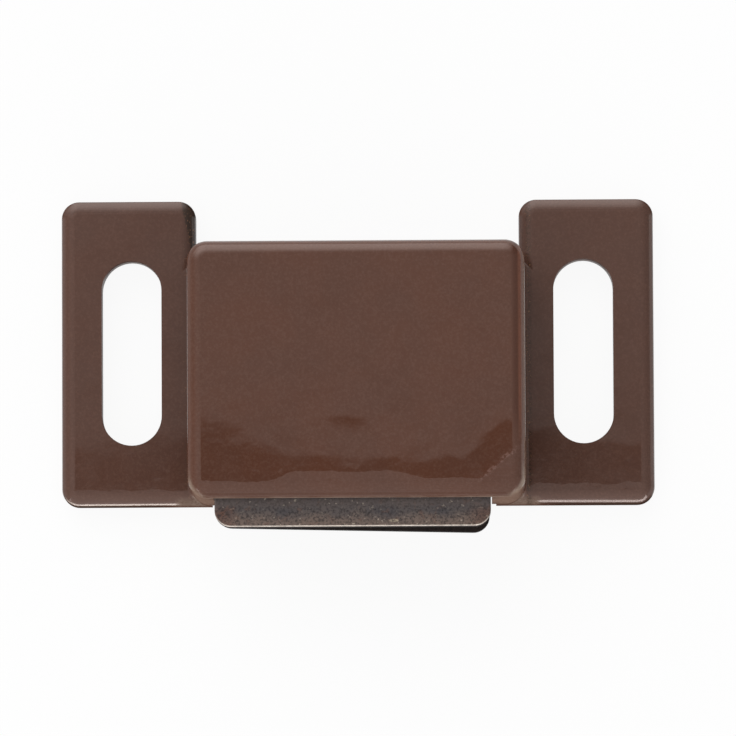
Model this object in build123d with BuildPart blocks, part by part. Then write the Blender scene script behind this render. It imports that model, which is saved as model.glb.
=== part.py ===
from build123d import *
import os

# Magnetic cupboard catch: a one-piece moulded case with two slotted ears, and a loose stack of
# two steel pole plates with a ferrite magnet between them, which looks out of the case's mouth.
# Millimetres. The origin lies on the mounting face, midway between the screw slots.
# +X runs along the catch, +Z out of the cupboard wall, and the pole tips point to -Y.

# Ears
overall_length = 47.6
ear_height = 24.6
ear_gap = 26.0            # between the inner edges of the two ears, above the box
ear_thickness = 2.4
ear_corner_radius = 1.4
edge_round = 1.1          # soft roundover of every outer front edge of the moulding
root_radius = 0.3         # small cove where the box's sides stand on the ears

# Screw slots
slot_spacing = 36.3
slot_width = 4.8
slot_length = 14.9

# Box of the case
box_width = 26.8
box_height = 20.45        # along Y, measured up from the ears' lower edge
box_depth = 12.6          # from the mounting face to the front
box_corner_radius = 1.6
side_wall = 1.1
mouth_wall = 1.2
front_wall = 1.3
cavity_corner_radius = 0.3

# Pole plates and magnet
plate_thickness = 1.5
plate_edge_round = 0.15   # die roll on the outward edge of each stamped plate
pole_width = 21.9
pole_corner_radius = 1.3
pole_reach = 2.25         # how far the pole tips stand out of the mouth
shoulder_length = 2.0
tail_taper = 0.5
tail_corner_radius = 1.0
magnet_width = 19.0
magnet_length = 15.0
magnet_thickness = 4.8
magnet_edge_chamfer = 0.3

# Clearances that let the stack float
mouth_float = 0.1         # each side of the poles in the mouth
mouth_step = 0.35         # by which the mouth is wider each side where it passes the ears' slab
shoulder_float = 0.42     # each side of the plates' shoulders in the box
front_clearance = 0.3
nib_clearance = 0.3
shoulder_gap = 0.7        # from the mouth wall to the plates' shoulders
tail_gap = 0.8            # from the top wall to the plates' tails

# Snap nibs that keep the stack in
nib_reach = 1.4
nib_length = 3.0
nib_slope = 1.6           # height of the lead-in below each nib's ledge
nib_pitch = 9.6

# Where the mouth is, and how the loose stack lies in it at rest
mouth_shift = -0.33       # of the mouth and the stack, off the middle of the box along X
rear_plate_skew = -1.3    # degrees about Z
rear_plate_setback = 0.1

# Planes and lines that the pieces share
ear_bottom = -ear_height / 2
box_top = ear_bottom + box_height
box_centre_y = (ear_bottom + box_top) / 2
cavity_width = box_width - 2 * side_wall
cavity_bottom = ear_bottom + mouth_wall
cavity_top = box_top - side_wall
cavity_ceiling = box_depth - front_wall
mouth_width = pole_width + 2 * mouth_float

pole_tip_y = ear_bottom - pole_reach
shoulder_width = cavity_width - 2 * shoulder_float
shoulder_y = cavity_bottom + shoulder_gap
tail_y = cavity_top - tail_gap
tail_width = shoulder_width - 2 * tail_taper
magnet_centre_y = (shoulder_y + tail_y) / 2

front_plate_z = cavity_ceiling - front_clearance - plate_thickness
magnet_z = front_plate_z - magnet_thickness
rear_plate_z = magnet_z - plate_thickness
nib_ledge_z = rear_plate_z - nib_clearance
rock_y = shoulder_y + shoulder_length / 2

os.makedirs("parts", exist_ok=True)


# Case: the ears are a slab with a notch between them, the box stands on it, and the cavity and
# the mouth are open to the back, so that the moulding draws straight off its core.
with BuildPart() as case:
    with BuildSketch(Plane.XY):
        Rectangle(overall_length, ear_height)
        with Locations((0, box_top - side_wall / 2)):
            Rectangle(ear_gap, ear_height, align=(Align.CENTER, Align.MIN), mode=Mode.SUBTRACT)
    extrude(amount=ear_thickness)
    ear_corners = (
        case.edges().filter_by(Axis.Z).group_by(Axis.Y)[-1]
        + case.edges().filter_by(Axis.Z).group_by(Axis.Y)[0]
    )
    fillet(ear_corners, ear_corner_radius)
    fillet(case.faces().sort_by(Axis.Z)[-1].edges(), edge_round)

    with BuildSketch(Plane.XY):
        with Locations((0, box_centre_y)):
            RectangleRounded(box_width, box_height, box_corner_radius)
    extrude(amount=box_depth)
    box_roots = case.edges(Select.NEW).filter_by(Axis.Y)
    fillet(box_roots, root_radius)
    fillet(case.faces().sort_by(Axis.Z)[-1].edges(), edge_round)

    with BuildSketch(Plane.XY):
        with Locations((0, (cavity_bottom + cavity_top) / 2)):
            RectangleRounded(cavity_width, cavity_top - cavity_bottom, cavity_corner_radius)
    extrude(amount=cavity_ceiling, mode=Mode.SUBTRACT)

    for width, depth in ((mouth_width, cavity_ceiling), (mouth_width + 2 * mouth_step, ear_thickness)):
        with BuildSketch(Plane.XY):
            with Locations((mouth_shift, ear_bottom)):
                Rectangle(width, 2 * mouth_wall)
        extrude(amount=depth, mode=Mode.SUBTRACT)

    with BuildSketch(Plane.XY):
        with GridLocations(slot_spacing, 0, 2, 1):
            SlotOverall(slot_length, slot_width, rotation=90)
    extrude(amount=ear_thickness, mode=Mode.SUBTRACT)

    # Snap nibs: a flat ledge under the rear plate, with a sloping lead-in towards the back
    with BuildSketch(Plane.XZ.offset(-magnet_centre_y)):
        for side in (-1, 1):
            wall = side * cavity_width / 2
            with BuildLine():
                Polyline(
                    (wall + side * side_wall / 2, nib_ledge_z),
                    (wall - side * nib_reach, nib_ledge_z),
                    (wall, nib_ledge_z - nib_slope),
                    (wall + side * side_wall / 2, nib_ledge_z - nib_slope),
                    close=True,
                )
            make_face()
    nib_row = extrude(amount=nib_length / 2, both=True, mode=Mode.PRIVATE)
    with Locations((0, -nib_pitch / 2), (0, nib_pitch / 2)):
        add(nib_row)

case.part.label = "case"
export_step(case.part, "parts/case.step")


# Pole plates: two stampings from one blank, laid back to back with their die rolls outward. The
# poles pass the mouth and the shoulders don't. The tail tapers, so that a plate can rock about its
# shoulders without touching the side walls.
blank_right = [
    (pole_width / 2, pole_tip_y - rock_y),
    (pole_width / 2, shoulder_y - rock_y),
    (shoulder_width / 2, shoulder_y - rock_y),
    (shoulder_width / 2, shoulder_y + shoulder_length - rock_y),
    (tail_width / 2, tail_y - rock_y),
]
blank_left = [(-x, y) for x, y in reversed(blank_right)]

front_place = Plane((mouth_shift, rock_y, front_plate_z))
rear_place = Plane((mouth_shift, rock_y + rear_plate_setback, rear_plate_z))
rear_place = rear_place.rotated((0, 0, rear_plate_skew))

for name, place, rolled in (("front_pole_plate", front_place, -1), ("rear_pole_plate", rear_place, 0)):
    with BuildPart() as pole_plate:
        with BuildSketch(place) as blank:
            with BuildLine():
                Polyline(*blank_right, *blank_left, close=True)
            make_face()
            fillet(blank.vertices().group_by(Axis.Y)[0], pole_corner_radius)
            fillet(blank.vertices().group_by(Axis.Y)[-1], tail_corner_radius)
        extrude(amount=plate_thickness)
        fillet(pole_plate.faces().sort_by(Axis.Z)[rolled].edges(), plate_edge_round)
    pole_plate.part.label = name
    export_step(pole_plate.part, f"parts/{name}.step")


# Magnet: a sintered block, magnetised through its thickness and set back from the pole tips
with BuildPart() as magnet:
    with BuildSketch(Plane((mouth_shift, magnet_centre_y, magnet_z))):
        Rectangle(magnet_width, magnet_length)
    extrude(amount=magnet_thickness)
    chamfer(magnet.edges().filter_by(Axis.Z), magnet_edge_chamfer)

magnet.part.label = "magnet"
export_step(magnet.part, "parts/magnet.step")
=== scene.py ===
import math
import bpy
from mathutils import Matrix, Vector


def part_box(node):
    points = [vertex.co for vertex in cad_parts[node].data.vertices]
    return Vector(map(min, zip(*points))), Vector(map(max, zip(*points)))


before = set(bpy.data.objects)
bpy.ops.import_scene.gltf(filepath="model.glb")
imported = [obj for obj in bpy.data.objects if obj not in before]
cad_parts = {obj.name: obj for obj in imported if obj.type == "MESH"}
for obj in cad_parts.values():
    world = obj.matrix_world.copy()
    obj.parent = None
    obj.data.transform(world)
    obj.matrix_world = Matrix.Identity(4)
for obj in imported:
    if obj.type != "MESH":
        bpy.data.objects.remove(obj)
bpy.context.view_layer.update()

from types import SimpleNamespace

import bpy
from mathutils import Vector

MM = 0.001

# The photo is taken from above: the ears lie along X, the mouth and the plates' tips face -Y and +Z is up.

# ---------------------------------------------------------------- camera

IMAGE_WIDTH = 736
FOCAL_LENGTH_PX = 8642
SENSOR_WIDTH = 36.0
CAMERA_PLACE = (9.23 * MM, -56.00 * MM, 694.2 * MM)
CAMERA_TURN = (0.0789, 0.0121, -0.0056)     # about X, Y and Z, in radians; zero looks straight down


def make_camera():
    camera = bpy.data.objects.new("camera", bpy.data.cameras.new("camera"))
    camera.data.sensor_width = SENSOR_WIDTH
    camera.data.lens = SENSOR_WIDTH * FOCAL_LENGTH_PX / IMAGE_WIDTH
    camera.data.clip_start = 10 * MM
    camera.data.clip_end = 20
    camera.rotation_mode = "ZYX"
    camera.rotation_euler = CAMERA_TURN
    camera.location = CAMERA_PLACE
    bpy.context.collection.objects.link(camera)
    bpy.context.scene.camera = camera


# ---------------------------------------------------------------- node trees

class Tree:
    """A material's or world's node tree, with short calls to add and join nodes.

    Wherever a value is asked for, it is a number or another node's output.
    """

    def __init__(self, holder):
        holder.use_nodes = True
        self.tree = holder.node_tree
        self.tree.nodes.clear()

    def add(self, kind, values=None, **settings):
        """A new node. values are for its input sockets, by name or number."""
        node = self.tree.nodes.new(kind)
        for name, value in settings.items():
            setattr(node, name, value)
        for key, value in (values or {}).items():
            if isinstance(value, bpy.types.NodeSocket):
                self.tree.links.new(value, node.inputs[key])
            else:
                node.inputs[key].default_value = value
        return node

    def math(self, operation, *operands):
        """The result of a Math node."""
        return self.add("ShaderNodeMath", dict(enumerate(operands)), operation=operation).outputs[0]

    def join(self, operation, values):
        """Several values joined by one operation, from the first to the last."""
        result = values[0]
        for value in values[1:]:
            result = self.math(operation, result, value)
        return result

    def add_up(self, *values):
        return self.join("ADD", values)

    def times(self, *values):
        return self.join("MULTIPLY", values)

    def largest(self, *values):
        return self.join("MAXIMUM", values)

    def clamp(self, value, low, high):
        return self.math("MINIMUM", self.math("MAXIMUM", value, low), high)

    def absolute(self, value):
        return self.math("ABSOLUTE", value)

    def square(self, value):
        return self.math("MULTIPLY", value, value)

    def spread(self, value, low, high, to_low=0.0, to_high=1.0):
        """value, where low to high becomes to_low to to_high, clamped and eased."""
        node = self.add("ShaderNodeMapRange", {"Value": value, "From Min": low, "From Max": high,
                                               "To Min": to_low, "To Max": to_high},
                        interpolation_type="SMOOTHSTEP")
        return node.outputs["Result"]

    def ellipse(self, value, centre, radius, other_value, other_centre, other_radius):
        """The squared distance from an ellipse's centre, which is 1 on the ellipse."""
        axes = ((value, centre, radius), (other_value, other_centre, other_radius))
        return self.add_up(*(self.square(self.math("DIVIDE", self.math("SUBTRACT", along, middle), reach))
                             for along, middle, reach in axes))

    def noise(self, place, scale, detail=2.0, roughness=0.5, distortion=0.0):
        """A noise texture of about 0 to 1, with scale in cycles a metre."""
        node = self.add("ShaderNodeTexNoise", {"Vector": place, "Scale": scale, "Detail": detail,
                                               "Roughness": roughness, "Distortion": distortion})
        return node.outputs["Fac"]

    def mix_colour(self, factor, first, second):
        """first where factor is 0, second where it is 1."""
        node = self.add("ShaderNodeMix", {"Factor": factor}, data_type="RGBA")
        for socket, value in ((node.inputs[6], first), (node.inputs[7], second)):
            if isinstance(value, bpy.types.NodeSocket):
                self.tree.links.new(value, socket)
            else:
                socket.default_value = (*value, 1.0)
        return node.outputs[2]

    def relief(self, *heights):
        """The normal of a surface raised by the sum of these heights, in metres."""
        node = self.add("ShaderNodeBump", {"Height": self.add_up(*heights), "Distance": 1.0, "Strength": 1.0})
        return node.outputs["Normal"]

    def separate(self, vector):
        axes = self.add("ShaderNodeSeparateXYZ", {0: vector}).outputs
        return axes["X"], axes["Y"], axes["Z"]

    def place(self):
        """Where a point is on its object, in metres."""
        return self.add("ShaderNodeTexCoord").outputs["Object"]

    def facing(self):
        """Which way the surface faces, as the X, Y and Z of its normal."""
        return self.separate(self.add("ShaderNodeNewGeometry").outputs["Normal"])


# ---------------------------------------------------------------- the brown moulding

EAR_TOP = 2.4 * MM
BOX_TOP = 12.6 * MM
ROUNDOVER = 1.1 * MM
FOLD = 13.75 * MM               # from the middle to the fold between the box and an ear
LEFT, RIGHT = -14.0 * MM, 14.0 * MM

BOX_BROWN = (0.090, 0.0345, 0.0203)
BOX_BROWN_DEEP = (0.083, 0.0340, 0.0214)
EAR_BROWN = (0.0795, 0.0446, 0.0354)
FLECK_BROWN = (0.1215, 0.061, 0.0437)
# Painted highlight on the burr over the mouth
BURR_HIGHLIGHT = (0.27, 0.20, 0.165)
# Painted light that makes the box's front walls beside the mouth pale
FRONT_WALL_LIGHT = (0.23, 0.165, 0.13)
# Painted highlight at the top of the box's right wall
RIGHT_WALL_HIGHLIGHT = (0.24, 0.155, 0.115)
# Painted light on the ears' front walls next to the box
EAR_ROOT_LIGHT = (0.215, 0.155, 0.122)
# Painted highlight along the left ear's front edge
EAR_EDGE_HIGHLIGHT = (0.55, 0.47, 0.41)
# Painted shade low on the ears' fronts
SHADED_FOOT = (0.030, 0.018, 0.013)
# Painted highlight on the rim of the box's front corners
CORNER_RIM_HIGHLIGHT = (0.42, 0.34, 0.26)
CORNER_STREAK_PALE = (0.19, 0.105, 0.085)
# Painted reflections along the start of the box's right rounding
REFLECTION_RED = (0.150, 0.057, 0.034)
REFLECTION_DARK = (0.060, 0.018, 0.009)
# Painted shade in the folds beside the box, and its paler specks
FOLD_SHADE = (0.022, 0.014, 0.009)
FOLD_SHADE_SPECKS = (0.20, 0.095, 0.045)

FALL_SLOPE = -0.049             # the faces' slope towards the mouth
LIP_SLOPE = -0.09               # the further slope of the lip along the mouth
SINK_DEPTH = 0.030 * MM
WAVE_HEIGHT = 0.065 * MM
PEEL_HEIGHT = 0.0010 * MM
PIT_HEIGHT = 0.0060 * MM


def moulding_zones(t):
    """Where a point is on the moulding: its place and facing, and zones that are 1 inside and 0 outside."""
    s = SimpleNamespace(place=t.place())
    s.x, s.y, s.z = t.separate(s.place)
    s.facing_x, s.facing_y, facing_z = t.facing()
    s.tilt = t.absolute(facing_z)           # 1 on a face, 0 on an upright wall
    s.out = t.absolute(s.x)                 # from the middle, to either side
    s.grain = t.noise(s.place, 5200, detail=2, roughness=0.6)
    s.smudge = t.noise(s.place, 420, detail=4, roughness=0.6, distortion=0.6)
    s.front = t.spread(s.facing_y, -0.3, -0.8)
    s.side = t.spread(t.absolute(s.facing_x), 0.1, 0.6)
    s.wall = t.spread(s.tilt, t.spread(s.front, 0.0, 1.0, 0.30, 0.44), t.spread(s.front, 0.0, 1.0, 0.05, 0.36))
    s.high = t.spread(s.z, 9.0 * MM, 11.0 * MM)
    s.low = t.spread(s.z, 3.0 * MM, 2.6 * MM)
    s.mouth_wall = t.times(s.front, t.spread(s.y, -10.5 * MM, -11.2 * MM))
    s.ear_root = t.times(t.spread(s.out, 14.9 * MM, 14.2 * MM), s.low)
    return s


def painted_light_mouth(t, s, colour):
    """A painted highlight on the burr over the mouth, and painted light that makes the box's front walls beside
    the mouth pale and mottled.
    """
    # Painted highlight: a pale line where the burr over the mouth catches the light
    burr_highlight = t.times(t.spread(s.tilt, 0.50, 0.25), t.spread(s.z, 11.0 * MM, 11.3 * MM),
                   s.front, t.spread(s.smudge, 0.35, 0.6, 0.05, 0.4))
    colour = t.mix_colour(burr_highlight, colour, BURR_HIGHLIGHT)
    # Painted light: the box's front walls beside the mouth are made pale and mottled, as if lit from the front
    pale_lit_front = t.times(s.mouth_wall, t.spread(s.tilt, 0.30, 0.15), t.spread(s.z, 2.6 * MM, 3.0 * MM),
                      t.spread(s.grain, 0.30, 0.70, 0.35, 0.65))
    return t.mix_colour(pale_lit_front, colour, FRONT_WALL_LIGHT)


def highlight_right_wall(t, s, colour):
    """A painted highlight, mottled, at the top of the box's right wall."""
    # Painted highlight at the top of the right wall
    rubbed_and_lit = t.times(t.spread(s.facing_x, 0.8, 0.95), s.high, t.spread(s.grain, 0.30, 0.60, 0.2, 0.55))
    return t.mix_colour(rubbed_and_lit, colour, RIGHT_WALL_HIGHLIGHT)


def light_and_shade_ear_fronts(t, s, colour):
    """A painted highlight along the left ear's front edge, painted light on both ears' front walls next to the
    box, and painted shade below that.
    """
    # Painted highlight along the left ear's front edge
    edge_highlight = t.times(s.mouth_wall, s.low, t.spread(s.x, -14.2 * MM, -14.9 * MM),
                   t.spread(s.tilt, 0.57, 0.43), t.spread(s.tilt, 0.26, 0.36),
                   t.spread(s.smudge, 0.3, 0.6, 0.4, 0.75))
    colour = t.mix_colour(edge_highlight, colour, EAR_EDGE_HIGHLIGHT)
    # Painted light on the ears' front walls next to the box, mottled
    rubbed_and_lit = t.times(s.mouth_wall, s.ear_root, t.spread(s.grain, 0.30, 0.60, 0.35, 0.75),
                     t.spread(s.tilt, 0.02, 0.20, 0.15, 1.0))
    colour = t.mix_colour(rubbed_and_lit, colour, EAR_ROOT_LIGHT)
    # Painted shade below the highlight, towards the ears' feet
    foot_start, foot_end = t.spread(s.x, LEFT, RIGHT, 0.34, 0.45), t.spread(s.x, LEFT, RIGHT, 0.23, 0.34)
    foot = t.times(s.mouth_wall, s.low, t.spread(s.out, 14.2 * MM, 16.5 * MM, 0.2, 1.0),
                   t.spread(s.tilt, foot_start, foot_end), 0.75)
    return t.mix_colour(foot, colour, SHADED_FOOT)


def highlight_and_streak_box_corners(t, s, colour):
    """A painted highlight on the rim of the box's two front corners, and a pale diagonal streak across the right
    one.
    """
    # Painted highlight on the corners' rim
    rim = t.times(t.spread(s.tilt, 0.80, 0.55), t.spread(s.tilt, 0.12, 0.30),
                  t.spread(s.z, 10.8 * MM, 11.3 * MM), t.spread(s.y, -9.0 * MM, -11.3 * MM),
                  t.spread(s.out, 11.7 * MM, 12.6 * MM), t.spread(s.smudge, 0.3, 0.6, 0.05, 0.42))
    colour = t.mix_colour(rim, colour, CORNER_RIM_HIGHLIGHT)
    from_corner_streak = t.absolute(t.add_up(t.times(s.x, 0.660), t.times(s.y, -0.752), -14.76 * MM,
                                     t.times(s.smudge, 1.0 * MM), -0.5 * MM))
    corner_streak = t.times(t.spread(from_corner_streak, 0.30 * MM, 0.05 * MM),
                    t.spread(s.x, 9.4 * MM, 10.3 * MM), t.spread(s.x, 13.0 * MM, 12.2 * MM),
                    t.spread(s.z, 12.0 * MM, 12.5 * MM), t.spread(s.grain, 0.40, 0.60, 0.1, 0.7))
    return t.mix_colour(corner_streak, colour, CORNER_STREAK_PALE)


def reflections_right_rounding(t, s, colour):
    """Painted reflections: a dark streak along the start of the box's right rounding, with a paler, redder one
    beside it.
    """
    along = t.times(t.spread(s.z, 11.6 * MM, 11.9 * MM),
                    t.spread(s.y, 8.6 * MM, 7.6 * MM), t.spread(s.y, -9.0 * MM, -5.0 * MM))
    red = t.times(along, t.spread(s.x, 12.75 * MM, 12.92 * MM), t.spread(s.x, 13.16 * MM, 13.04 * MM),
                  t.spread(s.grain, 0.30, 0.55, 0.5, 0.95))
    colour = t.mix_colour(red, colour, REFLECTION_RED)
    dark = t.times(along, t.spread(s.x, 12.25 * MM, 12.55 * MM), t.spread(s.x, 12.95 * MM, 12.75 * MM),
                   t.spread(s.grain, 0.35, 0.6, 0.35, 0.75))
    return t.mix_colour(dark, colour, REFLECTION_DARK)


def shaded_folds(t, s, colour):
    """Painted shade in the folds beside the box, speckled paler, most on the right and at the left ear's inner
    top corner.
    """
    from_fold = t.absolute(t.math("SUBTRACT", s.out, FOLD))
    fold = t.times(t.spread(from_fold, 0.35 * MM, 0.10 * MM), t.spread(s.grain, 0.45, 0.60),
                   t.spread(s.x, -5.0 * MM, 5.0 * MM, 0.3, 0.9))
    into_nook = t.add_up(s.x, t.times(s.y, 0.21), t.times(s.smudge, 0.8 * MM), 11.15 * MM)
    nook = t.times(t.spread(into_nook, -0.1 * MM, 0.1 * MM), t.spread(s.y, 8.0 * MM, 8.6 * MM),
                   t.math("LESS_THAN", s.x, -5.0 * MM))
    # Painted shade in the folds and the nook
    fold_shade = t.times(t.largest(fold, nook), s.low, 0.8)
    return t.mix_colour(fold_shade, colour, t.mix_colour(t.spread(s.grain, 0.58, 0.70), FOLD_SHADE, FOLD_SHADE_SPECKS))


def moulding_colour(t, s):
    mottle = t.noise(s.place, 260, detail=3)
    colour = t.mix_colour(t.spread(mottle, 0.3, 0.7), BOX_BROWN, BOX_BROWN_DEEP)
    colour = t.mix_colour(t.spread(s.z, 3.0 * MM, 2.0 * MM, 0.0, 0.6), colour, EAR_BROWN)
    colour = t.mix_colour(t.spread(s.grain, 0.40, 0.75, 0.0, 0.45), colour, FLECK_BROWN)
    for mark in (painted_light_mouth, highlight_right_wall, light_and_shade_ear_fronts, highlight_and_streak_box_corners,
                 reflections_right_rounding, shaded_folds):
        colour = mark(t, s, colour)
    return colour


def moulding_roughness(t, s):
    """Smooth faces, with duller front roundings, walls and ears."""
    rounding = t.times(s.front, t.spread(s.tilt, 1.0, 0.95), t.spread(s.high, 0.0, 1.0, 0.02, 0.30))
    return t.add_up(t.spread(s.smudge, 0.35, 0.75, 0.05, 0.12), rounding,
                    t.times(s.wall, 0.20), t.times(s.low, 0.06))


def moulding_shine(t, s):
    """The specular level, least on the walls, the left and right roundings, and the ears' fronts at the box."""
    steep = t.spread(s.tilt, 0.70, 0.40)
    dull_left = t.spread(steep, 0.0, 1.0, 0.6, 0.85)
    dull_right = t.spread(steep, 0.0, 1.0, t.spread(s.high, 0.0, 1.0, 0.35, 0.25), 0.75)
    dull = t.largest(s.wall, t.times(s.side, t.spread(s.facing_x, -0.3, 0.3, dull_left, dull_right)),
                     t.times(s.mouth_wall, s.ear_root, 0.9))
    front_rounding = t.times(s.front, t.spread(s.tilt, 0.80, 0.66), t.spread(s.high, 0.0, 1.0, 0.15, -0.30))
    return t.spread(dull, 0.0, 1.0, t.add_up(0.62, front_rounding), t.spread(s.mouth_wall, 0.0, 0.5, 0.06, 0.0))


def fall_height(t, s, ragged):
    """The faces fall away very slightly towards the mouth, earlier near the box's ends than in its middle."""
    left, right = t.spread(s.x, -4.5 * MM, -11.5 * MM), t.spread(s.x, 8.0 * MM, 12.0 * MM)
    earlier = t.times(t.largest(left, right), t.spread(s.out, 13.5 * MM, 21.0 * MM, 3.2 * MM, 2.1 * MM))
    start = t.add_up(earlier, t.times(ragged, 1.6 * MM), -9.9 * MM)
    past = t.largest(t.math("SUBTRACT", start, s.y), 0.0)
    easing = t.spread(left, 0.0, 1.0, 1.0 * MM, 2.6 * MM)      # over this length the slope grows to its full
    eased = t.math("MINIMUM", past, easing)
    drop = t.add_up(t.math("DIVIDE", t.square(eased), t.times(easing, 2.0)), t.math("SUBTRACT", past, eased))
    return t.times(drop, FALL_SLOPE)


def past_lip(t, s, ragged, fine):
    """How far a point is past the line where the lip along the mouth starts. The line cuts the right corner."""
    corner = t.times(t.clamp(t.math("SUBTRACT", s.x, 9.9 * MM), 0.0, 3.5 * MM), 0.85,
                     t.math("LESS_THAN", s.x, 13.6 * MM))
    start = t.add_up(t.spread(s.x, -5.0 * MM, -7.0 * MM, -10.65 * MM, -11.4 * MM), corner,
                     t.spread(s.x, 3.0 * MM, 6.0 * MM, 0.0, -0.60 * MM), t.times(fine, 0.25 * MM),
                     t.times(ragged, t.spread(s.x, 13.7 * MM, 14.5 * MM, 0.5 * MM, 0.95 * MM)))
    return t.math("SUBTRACT", start, s.y)


def flattening_heights(t, s):
    """The ears' front and back roundings, and the box's front one, look flatter than the solid's."""
    ear_drop = t.clamp(t.math("SUBTRACT", EAR_TOP, s.z), 0.0, ROUNDOVER)
    ears = t.times(ear_drop, t.add_up(t.times(s.front, t.spread(s.x, LEFT, RIGHT, 0.46, 0.33)),
                                      t.spread(s.facing_y, 0.02, 0.2, 0.0, 0.50)))
    upper = t.clamp(t.math("DIVIDE", t.math("SUBTRACT", s.z, 2.6 * MM), 8.8 * MM), 0.0, 1.0)
    box_drop = t.clamp(t.math("SUBTRACT", BOX_TOP, s.z), 0.0, ROUNDOVER)
    box = t.times(box_drop, upper, t.spread(s.side, 1.0, 0.0, 0.0, 0.62), t.spread(s.facing_y, -0.02, -0.2))
    return ears, box


def moulding_relief(t, s):
    """The normal, with what moulding leaves on the faces: falls, a sink mark, waves, peel and pits."""
    not_front = t.spread(s.facing_y, -0.05, -0.25, 1.0, 0.0)
    ragged = t.times(t.noise(s.place, 380, detail=2.5), not_front)
    fine = t.times(t.noise(s.place, 2400), not_front)
    beyond = past_lip(t, s, ragged, fine)
    lip = t.times(t.largest(beyond, 0.0), LIP_SLOPE)
    from_sink = t.ellipse(s.x, -0.8 * MM, 1.9 * MM, s.y, -5.75 * MM, 0.9 * MM)
    sink = t.times(t.math("EXPONENT", t.times(from_sink, -1.0)), SINK_DEPTH)
    wave = t.times(t.noise(s.place, 150, detail=3.5), WAVE_HEIGHT)
    peel = t.times(t.noise(s.place, 1500), PEEL_HEIGHT, not_front)
    pitted = t.times(t.add_up(t.spread(t.absolute(beyond), 0.7 * MM, 0.2 * MM), s.low), not_front,
                     t.spread(s.y, -6.0 * MM, -9.0 * MM, 0.3, 1.0))
    pits = t.times(t.noise(s.place, 3600, roughness=0.6), pitted, PIT_HEIGHT)
    return t.relief(fall_height(t, s, ragged), lip, *flattening_heights(t, s), sink, wave, peel, pits)


def brown_moulding():
    """Glossy brown moulded plastic, a little wavy from the mould, with fine specks, a pale streak, and painted
    highlights, reflections, light and shade along its edges and folds.
    """
    material = bpy.data.materials.new("brown_moulding")
    t = Tree(material)
    s = moulding_zones(t)
    shader = t.add("ShaderNodeBsdfPrincipled", {
        "Base Color": moulding_colour(t, s), "Roughness": moulding_roughness(t, s), "IOR": 1.5,
        "Specular IOR Level": moulding_shine(t, s), "Specular Tint": (1.0, 0.86, 0.81, 1.0),
        "Normal": moulding_relief(t, s)})
    t.add("ShaderNodeOutputMaterial", {"Surface": shader.outputs["BSDF"]})
    return material


# ---------------------------------------------------------------- the plates and the magnet

PLATE_MIDDLE = -0.33 * MM

SCALE_GREY = (0.090, 0.079, 0.082)
SCALE_GREY_PALE = (0.118, 0.099, 0.095)
# Painted shade: a plate that lies in shade is darkened towards this black
PAINTED_SHADE_BLACK = (0.018, 0.015, 0.016)
RUBBED_STEEL = (0.200, 0.146, 0.120)
# Painted light on the plate under the mouth's edge
UNDER_MOUTH_LIGHT = (0.20, 0.155, 0.14)
RUST = (0.165, 0.083, 0.058)
PIT_BLACK = (0.022, 0.019, 0.020)
SPECK_PALE = (0.50, 0.42, 0.34)
CHIP_PALE = (0.46, 0.38, 0.28)
BRIGHT_RIM = (0.60, 0.54, 0.48)
SHEARED_EDGE = (0.008, 0.007, 0.008)
SHEARED_EDGE_PALE = (0.03, 0.027, 0.026)
STEEL_GRAIN_HEIGHT = 0.006 * MM

FERRITE_DARK = (0.02, 0.02, 0.022)
FERRITE_PALE = (0.05, 0.05, 0.055)
FERRITE_GRAIN_HEIGHT = 0.01 * MM


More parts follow.
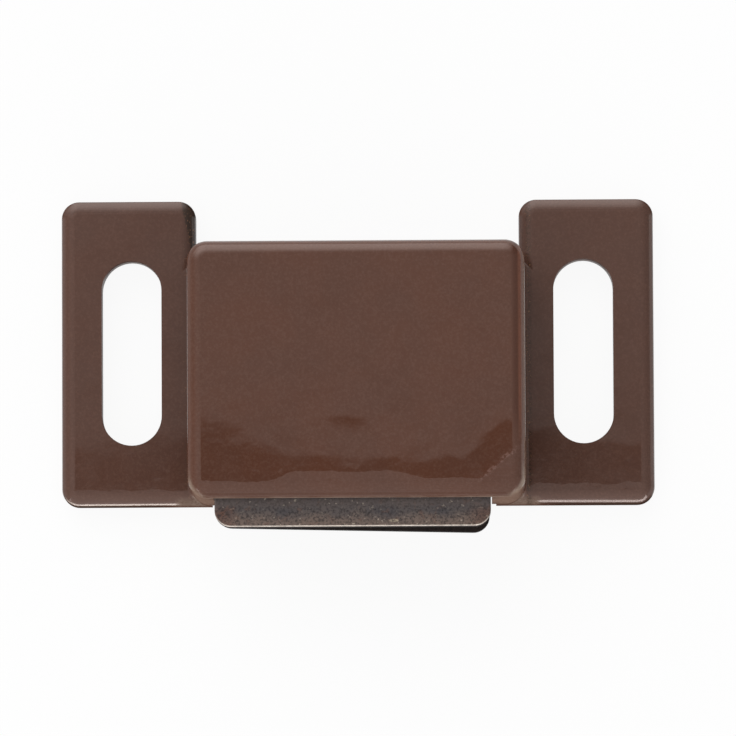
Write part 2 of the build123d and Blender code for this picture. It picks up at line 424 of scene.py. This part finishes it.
def pole_steel(name, tip, scale):
    """Dark scaled steel, rubbed paler and browner towards the tip, grainy, with a bright rubbed rim at the tip.

    tip is where the plate ends along Y, and scale is how much painted shade darkens the plate towards black,
    from 0 to 1.
    """
    material = bpy.data.materials.new(name)
    t = Tree(material)
    place = t.place()
    x, y, _ = t.separate(place)
    patch = t.noise(place, 500, detail=4, roughness=0.6)
    rust = t.noise(place, 1700, detail=3, roughness=0.6)
    grain = t.noise(place, 4800, detail=2, roughness=0.7)
    speck = t.noise(place, 3600, detail=1)

    rubbed_and_lit = t.spread(t.add_up(y, t.times(patch, -1.6 * MM)), tip + 0.6 * MM, tip - 0.6 * MM)
    colour = t.mix_colour(t.spread(patch, 0.35, 0.65), SCALE_GREY, SCALE_GREY_PALE)
    colour = t.mix_colour(rubbed_and_lit, colour, RUBBED_STEEL)
    corner = t.times(t.spread(t.absolute(t.math("SUBTRACT", x, PLATE_MIDDLE)), 8.6 * MM, 10.4 * MM),
                     t.spread(y, tip + 2.0 * MM, tip + 0.9 * MM))
    rusty = t.add_up(t.times(t.spread(rust, 0.56, 0.70), 0.4), t.times(corner, 0.6))
    colour = t.mix_colour(rusty, colour, RUST)
    colour = t.mix_colour(t.spread(grain, 0.60, 0.30, 0.0, 0.72), colour, PIT_BLACK)

    # Next to the mouth the plate is painted paler, a painted light against the shade under the mouth's edge, and
    # pale specks gather there and at the tip
    under_mouth = t.spread(y, tip + 1.2 * MM, tip + 1.9 * MM)
    colour = t.mix_colour(t.times(under_mouth, 0.3), colour, UNDER_MOUTH_LIGHT)
    specks = t.times(t.spread(speck, 0.66, 0.76),
                     t.add_up(t.spread(rubbed_and_lit, 0.2, 1.0, 0.12, 0.8), t.times(under_mouth, 0.5)))
    colour = t.mix_colour(specks, colour, SPECK_PALE)
    from_chip = t.ellipse(x, 2.95 * MM, 0.42 * MM, y, tip + 0.45 * MM, 0.13 * MM)
    chip = t.times(t.spread(from_chip, 1.2, 0.3), t.spread(grain, 0.35, 0.60))
    colour = t.mix_colour(chip, colour, CHIP_PALE)
    # Painted shade: scale darkens the plate towards black, and also dims its rim and its shine
    colour = t.mix_colour(1.0 - scale, PAINTED_SHADE_BLACK, colour)

    # The rolled upper edge is rubbed bright, and the sheared edge below it is dull and dark
    _, facing_y, up = t.facing()
    rim = t.times(t.spread(up, 0.1, 0.3), t.spread(up, 0.99, 0.9),
                  t.spread(facing_y, -0.2, -0.4, 0.0, 0.65 * (1.0 - scale)), t.spread(rust, 0.3, 0.6, 0.5, 1.0))
    colour = t.mix_colour(rim, colour, BRIGHT_RIM)
    bumps = t.relief(t.times(grain, STEEL_GRAIN_HEIGHT))
    face = t.add("ShaderNodeBsdfPrincipled", {"Base Color": colour, "Roughness": 0.42, "Metallic": 0.6,
                                              "Specular IOR Level": 0.5 - 0.4 * scale, "Normal": bumps})
    edge = t.add("ShaderNodeBsdfDiffuse", {"Color": t.mix_colour(grain, SHEARED_EDGE, SHEARED_EDGE_PALE),
                                           "Normal": bumps})
    sheared = t.spread(t.absolute(up), 0.2, 0.05, 0.0, 0.9)
    surface = t.add("ShaderNodeMixShader", {0: sheared, 1: face.outputs[0], 2: edge.outputs[0]})
    t.add("ShaderNodeOutputMaterial", {"Surface": surface.outputs[0]})
    return material


def ferrite():
    """Sintered ferrite, ground to size: nearly black, with a fine grain."""
    material = bpy.data.materials.new("ferrite")
    t = Tree(material)
    grain = t.noise(t.place(), 7000, detail=3)
    shader = t.add("ShaderNodeBsdfPrincipled", {"Base Color": t.mix_colour(grain, FERRITE_DARK, FERRITE_PALE),
                                                "Roughness": 0.6,
                                                "Normal": t.relief(t.times(grain, FERRITE_GRAIN_HEIGHT))})
    t.add("ShaderNodeOutputMaterial", {"Surface": shader.outputs["BSDF"]})
    return material


def dress(node_name, material):
    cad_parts[node_name].material_slots[0].material = material


# ---------------------------------------------------------------- floor, world and light

FLOOR_SIZE = 4.0
FLOOR_DEPTH = 0.02 * MM         # just under the part, so that their faces don't coincide
FLOOR_GLOW = 0.92               # how much of the floor that the camera and reflections see is plain white
PAPER = (0.88, 0.88, 0.88, 1.0)
WHITE = (1.0, 1.0, 1.0, 1.0)

TENT_LEVEL = 0.62
TENT_SLOPE_X, TENT_SLOPE_Y = -0.22, -0.32
WINDOW_TOWARDS = Vector((-0.317, 0.871, 0.375))
WINDOW_LEVEL = 2.25
OPENING_X, OPENING_Y = 0.0, -0.020                  # the opening's centre, for a height of 1
OPENING_RADIUS_X, OPENING_RADIUS_Y = 0.20, 0.070
OPENING_LEVEL = 0.10                                # how much of the tent's light comes from the opening


def make_floor():
    mesh = bpy.data.meshes.new("floor")
    half = FLOOR_SIZE / 2
    corners = ((-half, -half), (half, -half), (half, half), (-half, half))
    mesh.from_pydata([(x, y, -FLOOR_DEPTH) for x, y in corners], [], [(0, 1, 2, 3)])
    floor = bpy.data.objects.new("floor", mesh)
    bpy.context.collection.objects.link(floor)
    material = bpy.data.materials.new("floor")
    t = Tree(material)
    paper = t.add("ShaderNodeBsdfDiffuse", {"Color": PAPER}).outputs[0]
    white = t.add("ShaderNodeEmission", {"Color": WHITE, "Strength": 1.0}).outputs[0]
    rays = t.add("ShaderNodeLightPath").outputs
    seen = t.times(t.largest(rays["Is Camera Ray"], rays["Is Glossy Ray"]), FLOOR_GLOW)
    surface = t.add("ShaderNodeMixShader", {0: seen, 1: paper, 2: white}).outputs[0]
    t.add("ShaderNodeOutputMaterial", {"Surface": surface})
    mesh.materials.append(material)


def make_world():
    """A white tent, brighter on the left and front, with a window behind and a dark opening above.

    The camera looks through the opening.
    """
    world = bpy.data.worlds.new("world")
    bpy.context.scene.world = world
    t = Tree(world)
    x, y, z = t.separate(t.add("ShaderNodeTexCoord").outputs["Generated"])
    towards_window = t.add_up(*(t.times(axis, part) for axis, part in zip((x, y, z), WINDOW_TOWARDS)))
    level = t.add_up(t.times(x, TENT_SLOPE_X), t.times(y, TENT_SLOPE_Y), TENT_LEVEL,
                     t.spread(towards_window, 0.55, 1.0, 0.0, WINDOW_LEVEL))

    # The opening's edge is sharp towards the mouth side and soft towards the back
    across, back = t.math("DIVIDE", x, z), t.math("DIVIDE", y, z)
    out = t.math("SQRT", t.ellipse(across, OPENING_X, OPENING_RADIUS_X, back, OPENING_Y, OPENING_RADIUS_Y))
    behind = t.math("DIVIDE", t.math("SUBTRACT", back, OPENING_Y), OPENING_RADIUS_Y)
    inner, outer = t.spread(behind, 0.0, 0.5, 0.93, 0.50), t.spread(behind, 0.0, 0.5, 1.10, 1.35)
    lit = t.largest(t.spread(out, inner, outer, OPENING_LEVEL, 1.0), t.math("LESS_THAN", z, 0.0))

    tent = t.add("ShaderNodeBackground", {"Color": WHITE, "Strength": t.times(level, lit)}).outputs[0]
    white = t.add("ShaderNodeBackground", {"Color": WHITE, "Strength": 1.0}).outputs[0]
    seen = t.add("ShaderNodeLightPath").outputs["Is Camera Ray"]
    surface = t.add("ShaderNodeMixShader", {0: seen, 1: tent, 2: white}).outputs[0]
    t.add("ShaderNodeOutputWorld", {"Surface": surface})


def make_softbox(name, bearing, height, distance, size, radiance):
    """A rectangular area light aimed at the object.

    bearing is in degrees clockwise from +Y, and height in degrees above the horizon.
    """
    bearing, height = math.radians(bearing), math.radians(height)
    away = Vector((math.sin(bearing) * math.cos(height), math.cos(bearing) * math.cos(height), math.sin(height)))
    lamp = bpy.data.lights.new(name, "AREA")
    lamp.shape = "RECTANGLE"
    lamp.size, lamp.size_y = size
    lamp.energy = radiance * math.pi * size[0] * size[1]
    light = bpy.data.objects.new(name, lamp)
    light.location = away * distance
    light.rotation_mode = "QUATERNION"
    light.rotation_quaternion = away.to_track_quat("Z", "Y")
    bpy.context.collection.objects.link(light)


make_camera()
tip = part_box("front_pole_plate")[0].y
dress("case", brown_moulding())
dress("front_pole_plate", pole_steel("front_steel", tip, scale=0.0))
# The rear plate lies in the front plate's shade, painted in as black with scale
dress("rear_pole_plate", pole_steel("rear_steel", tip, scale=0.85))
dress("magnet", ferrite())
make_floor()
make_world()
make_softbox("front_strip", bearing=180, height=5.5, distance=1.2, size=(1.9, 0.30), radiance=6.2)

bpy.context.scene.view_settings.view_transform = "Standard"
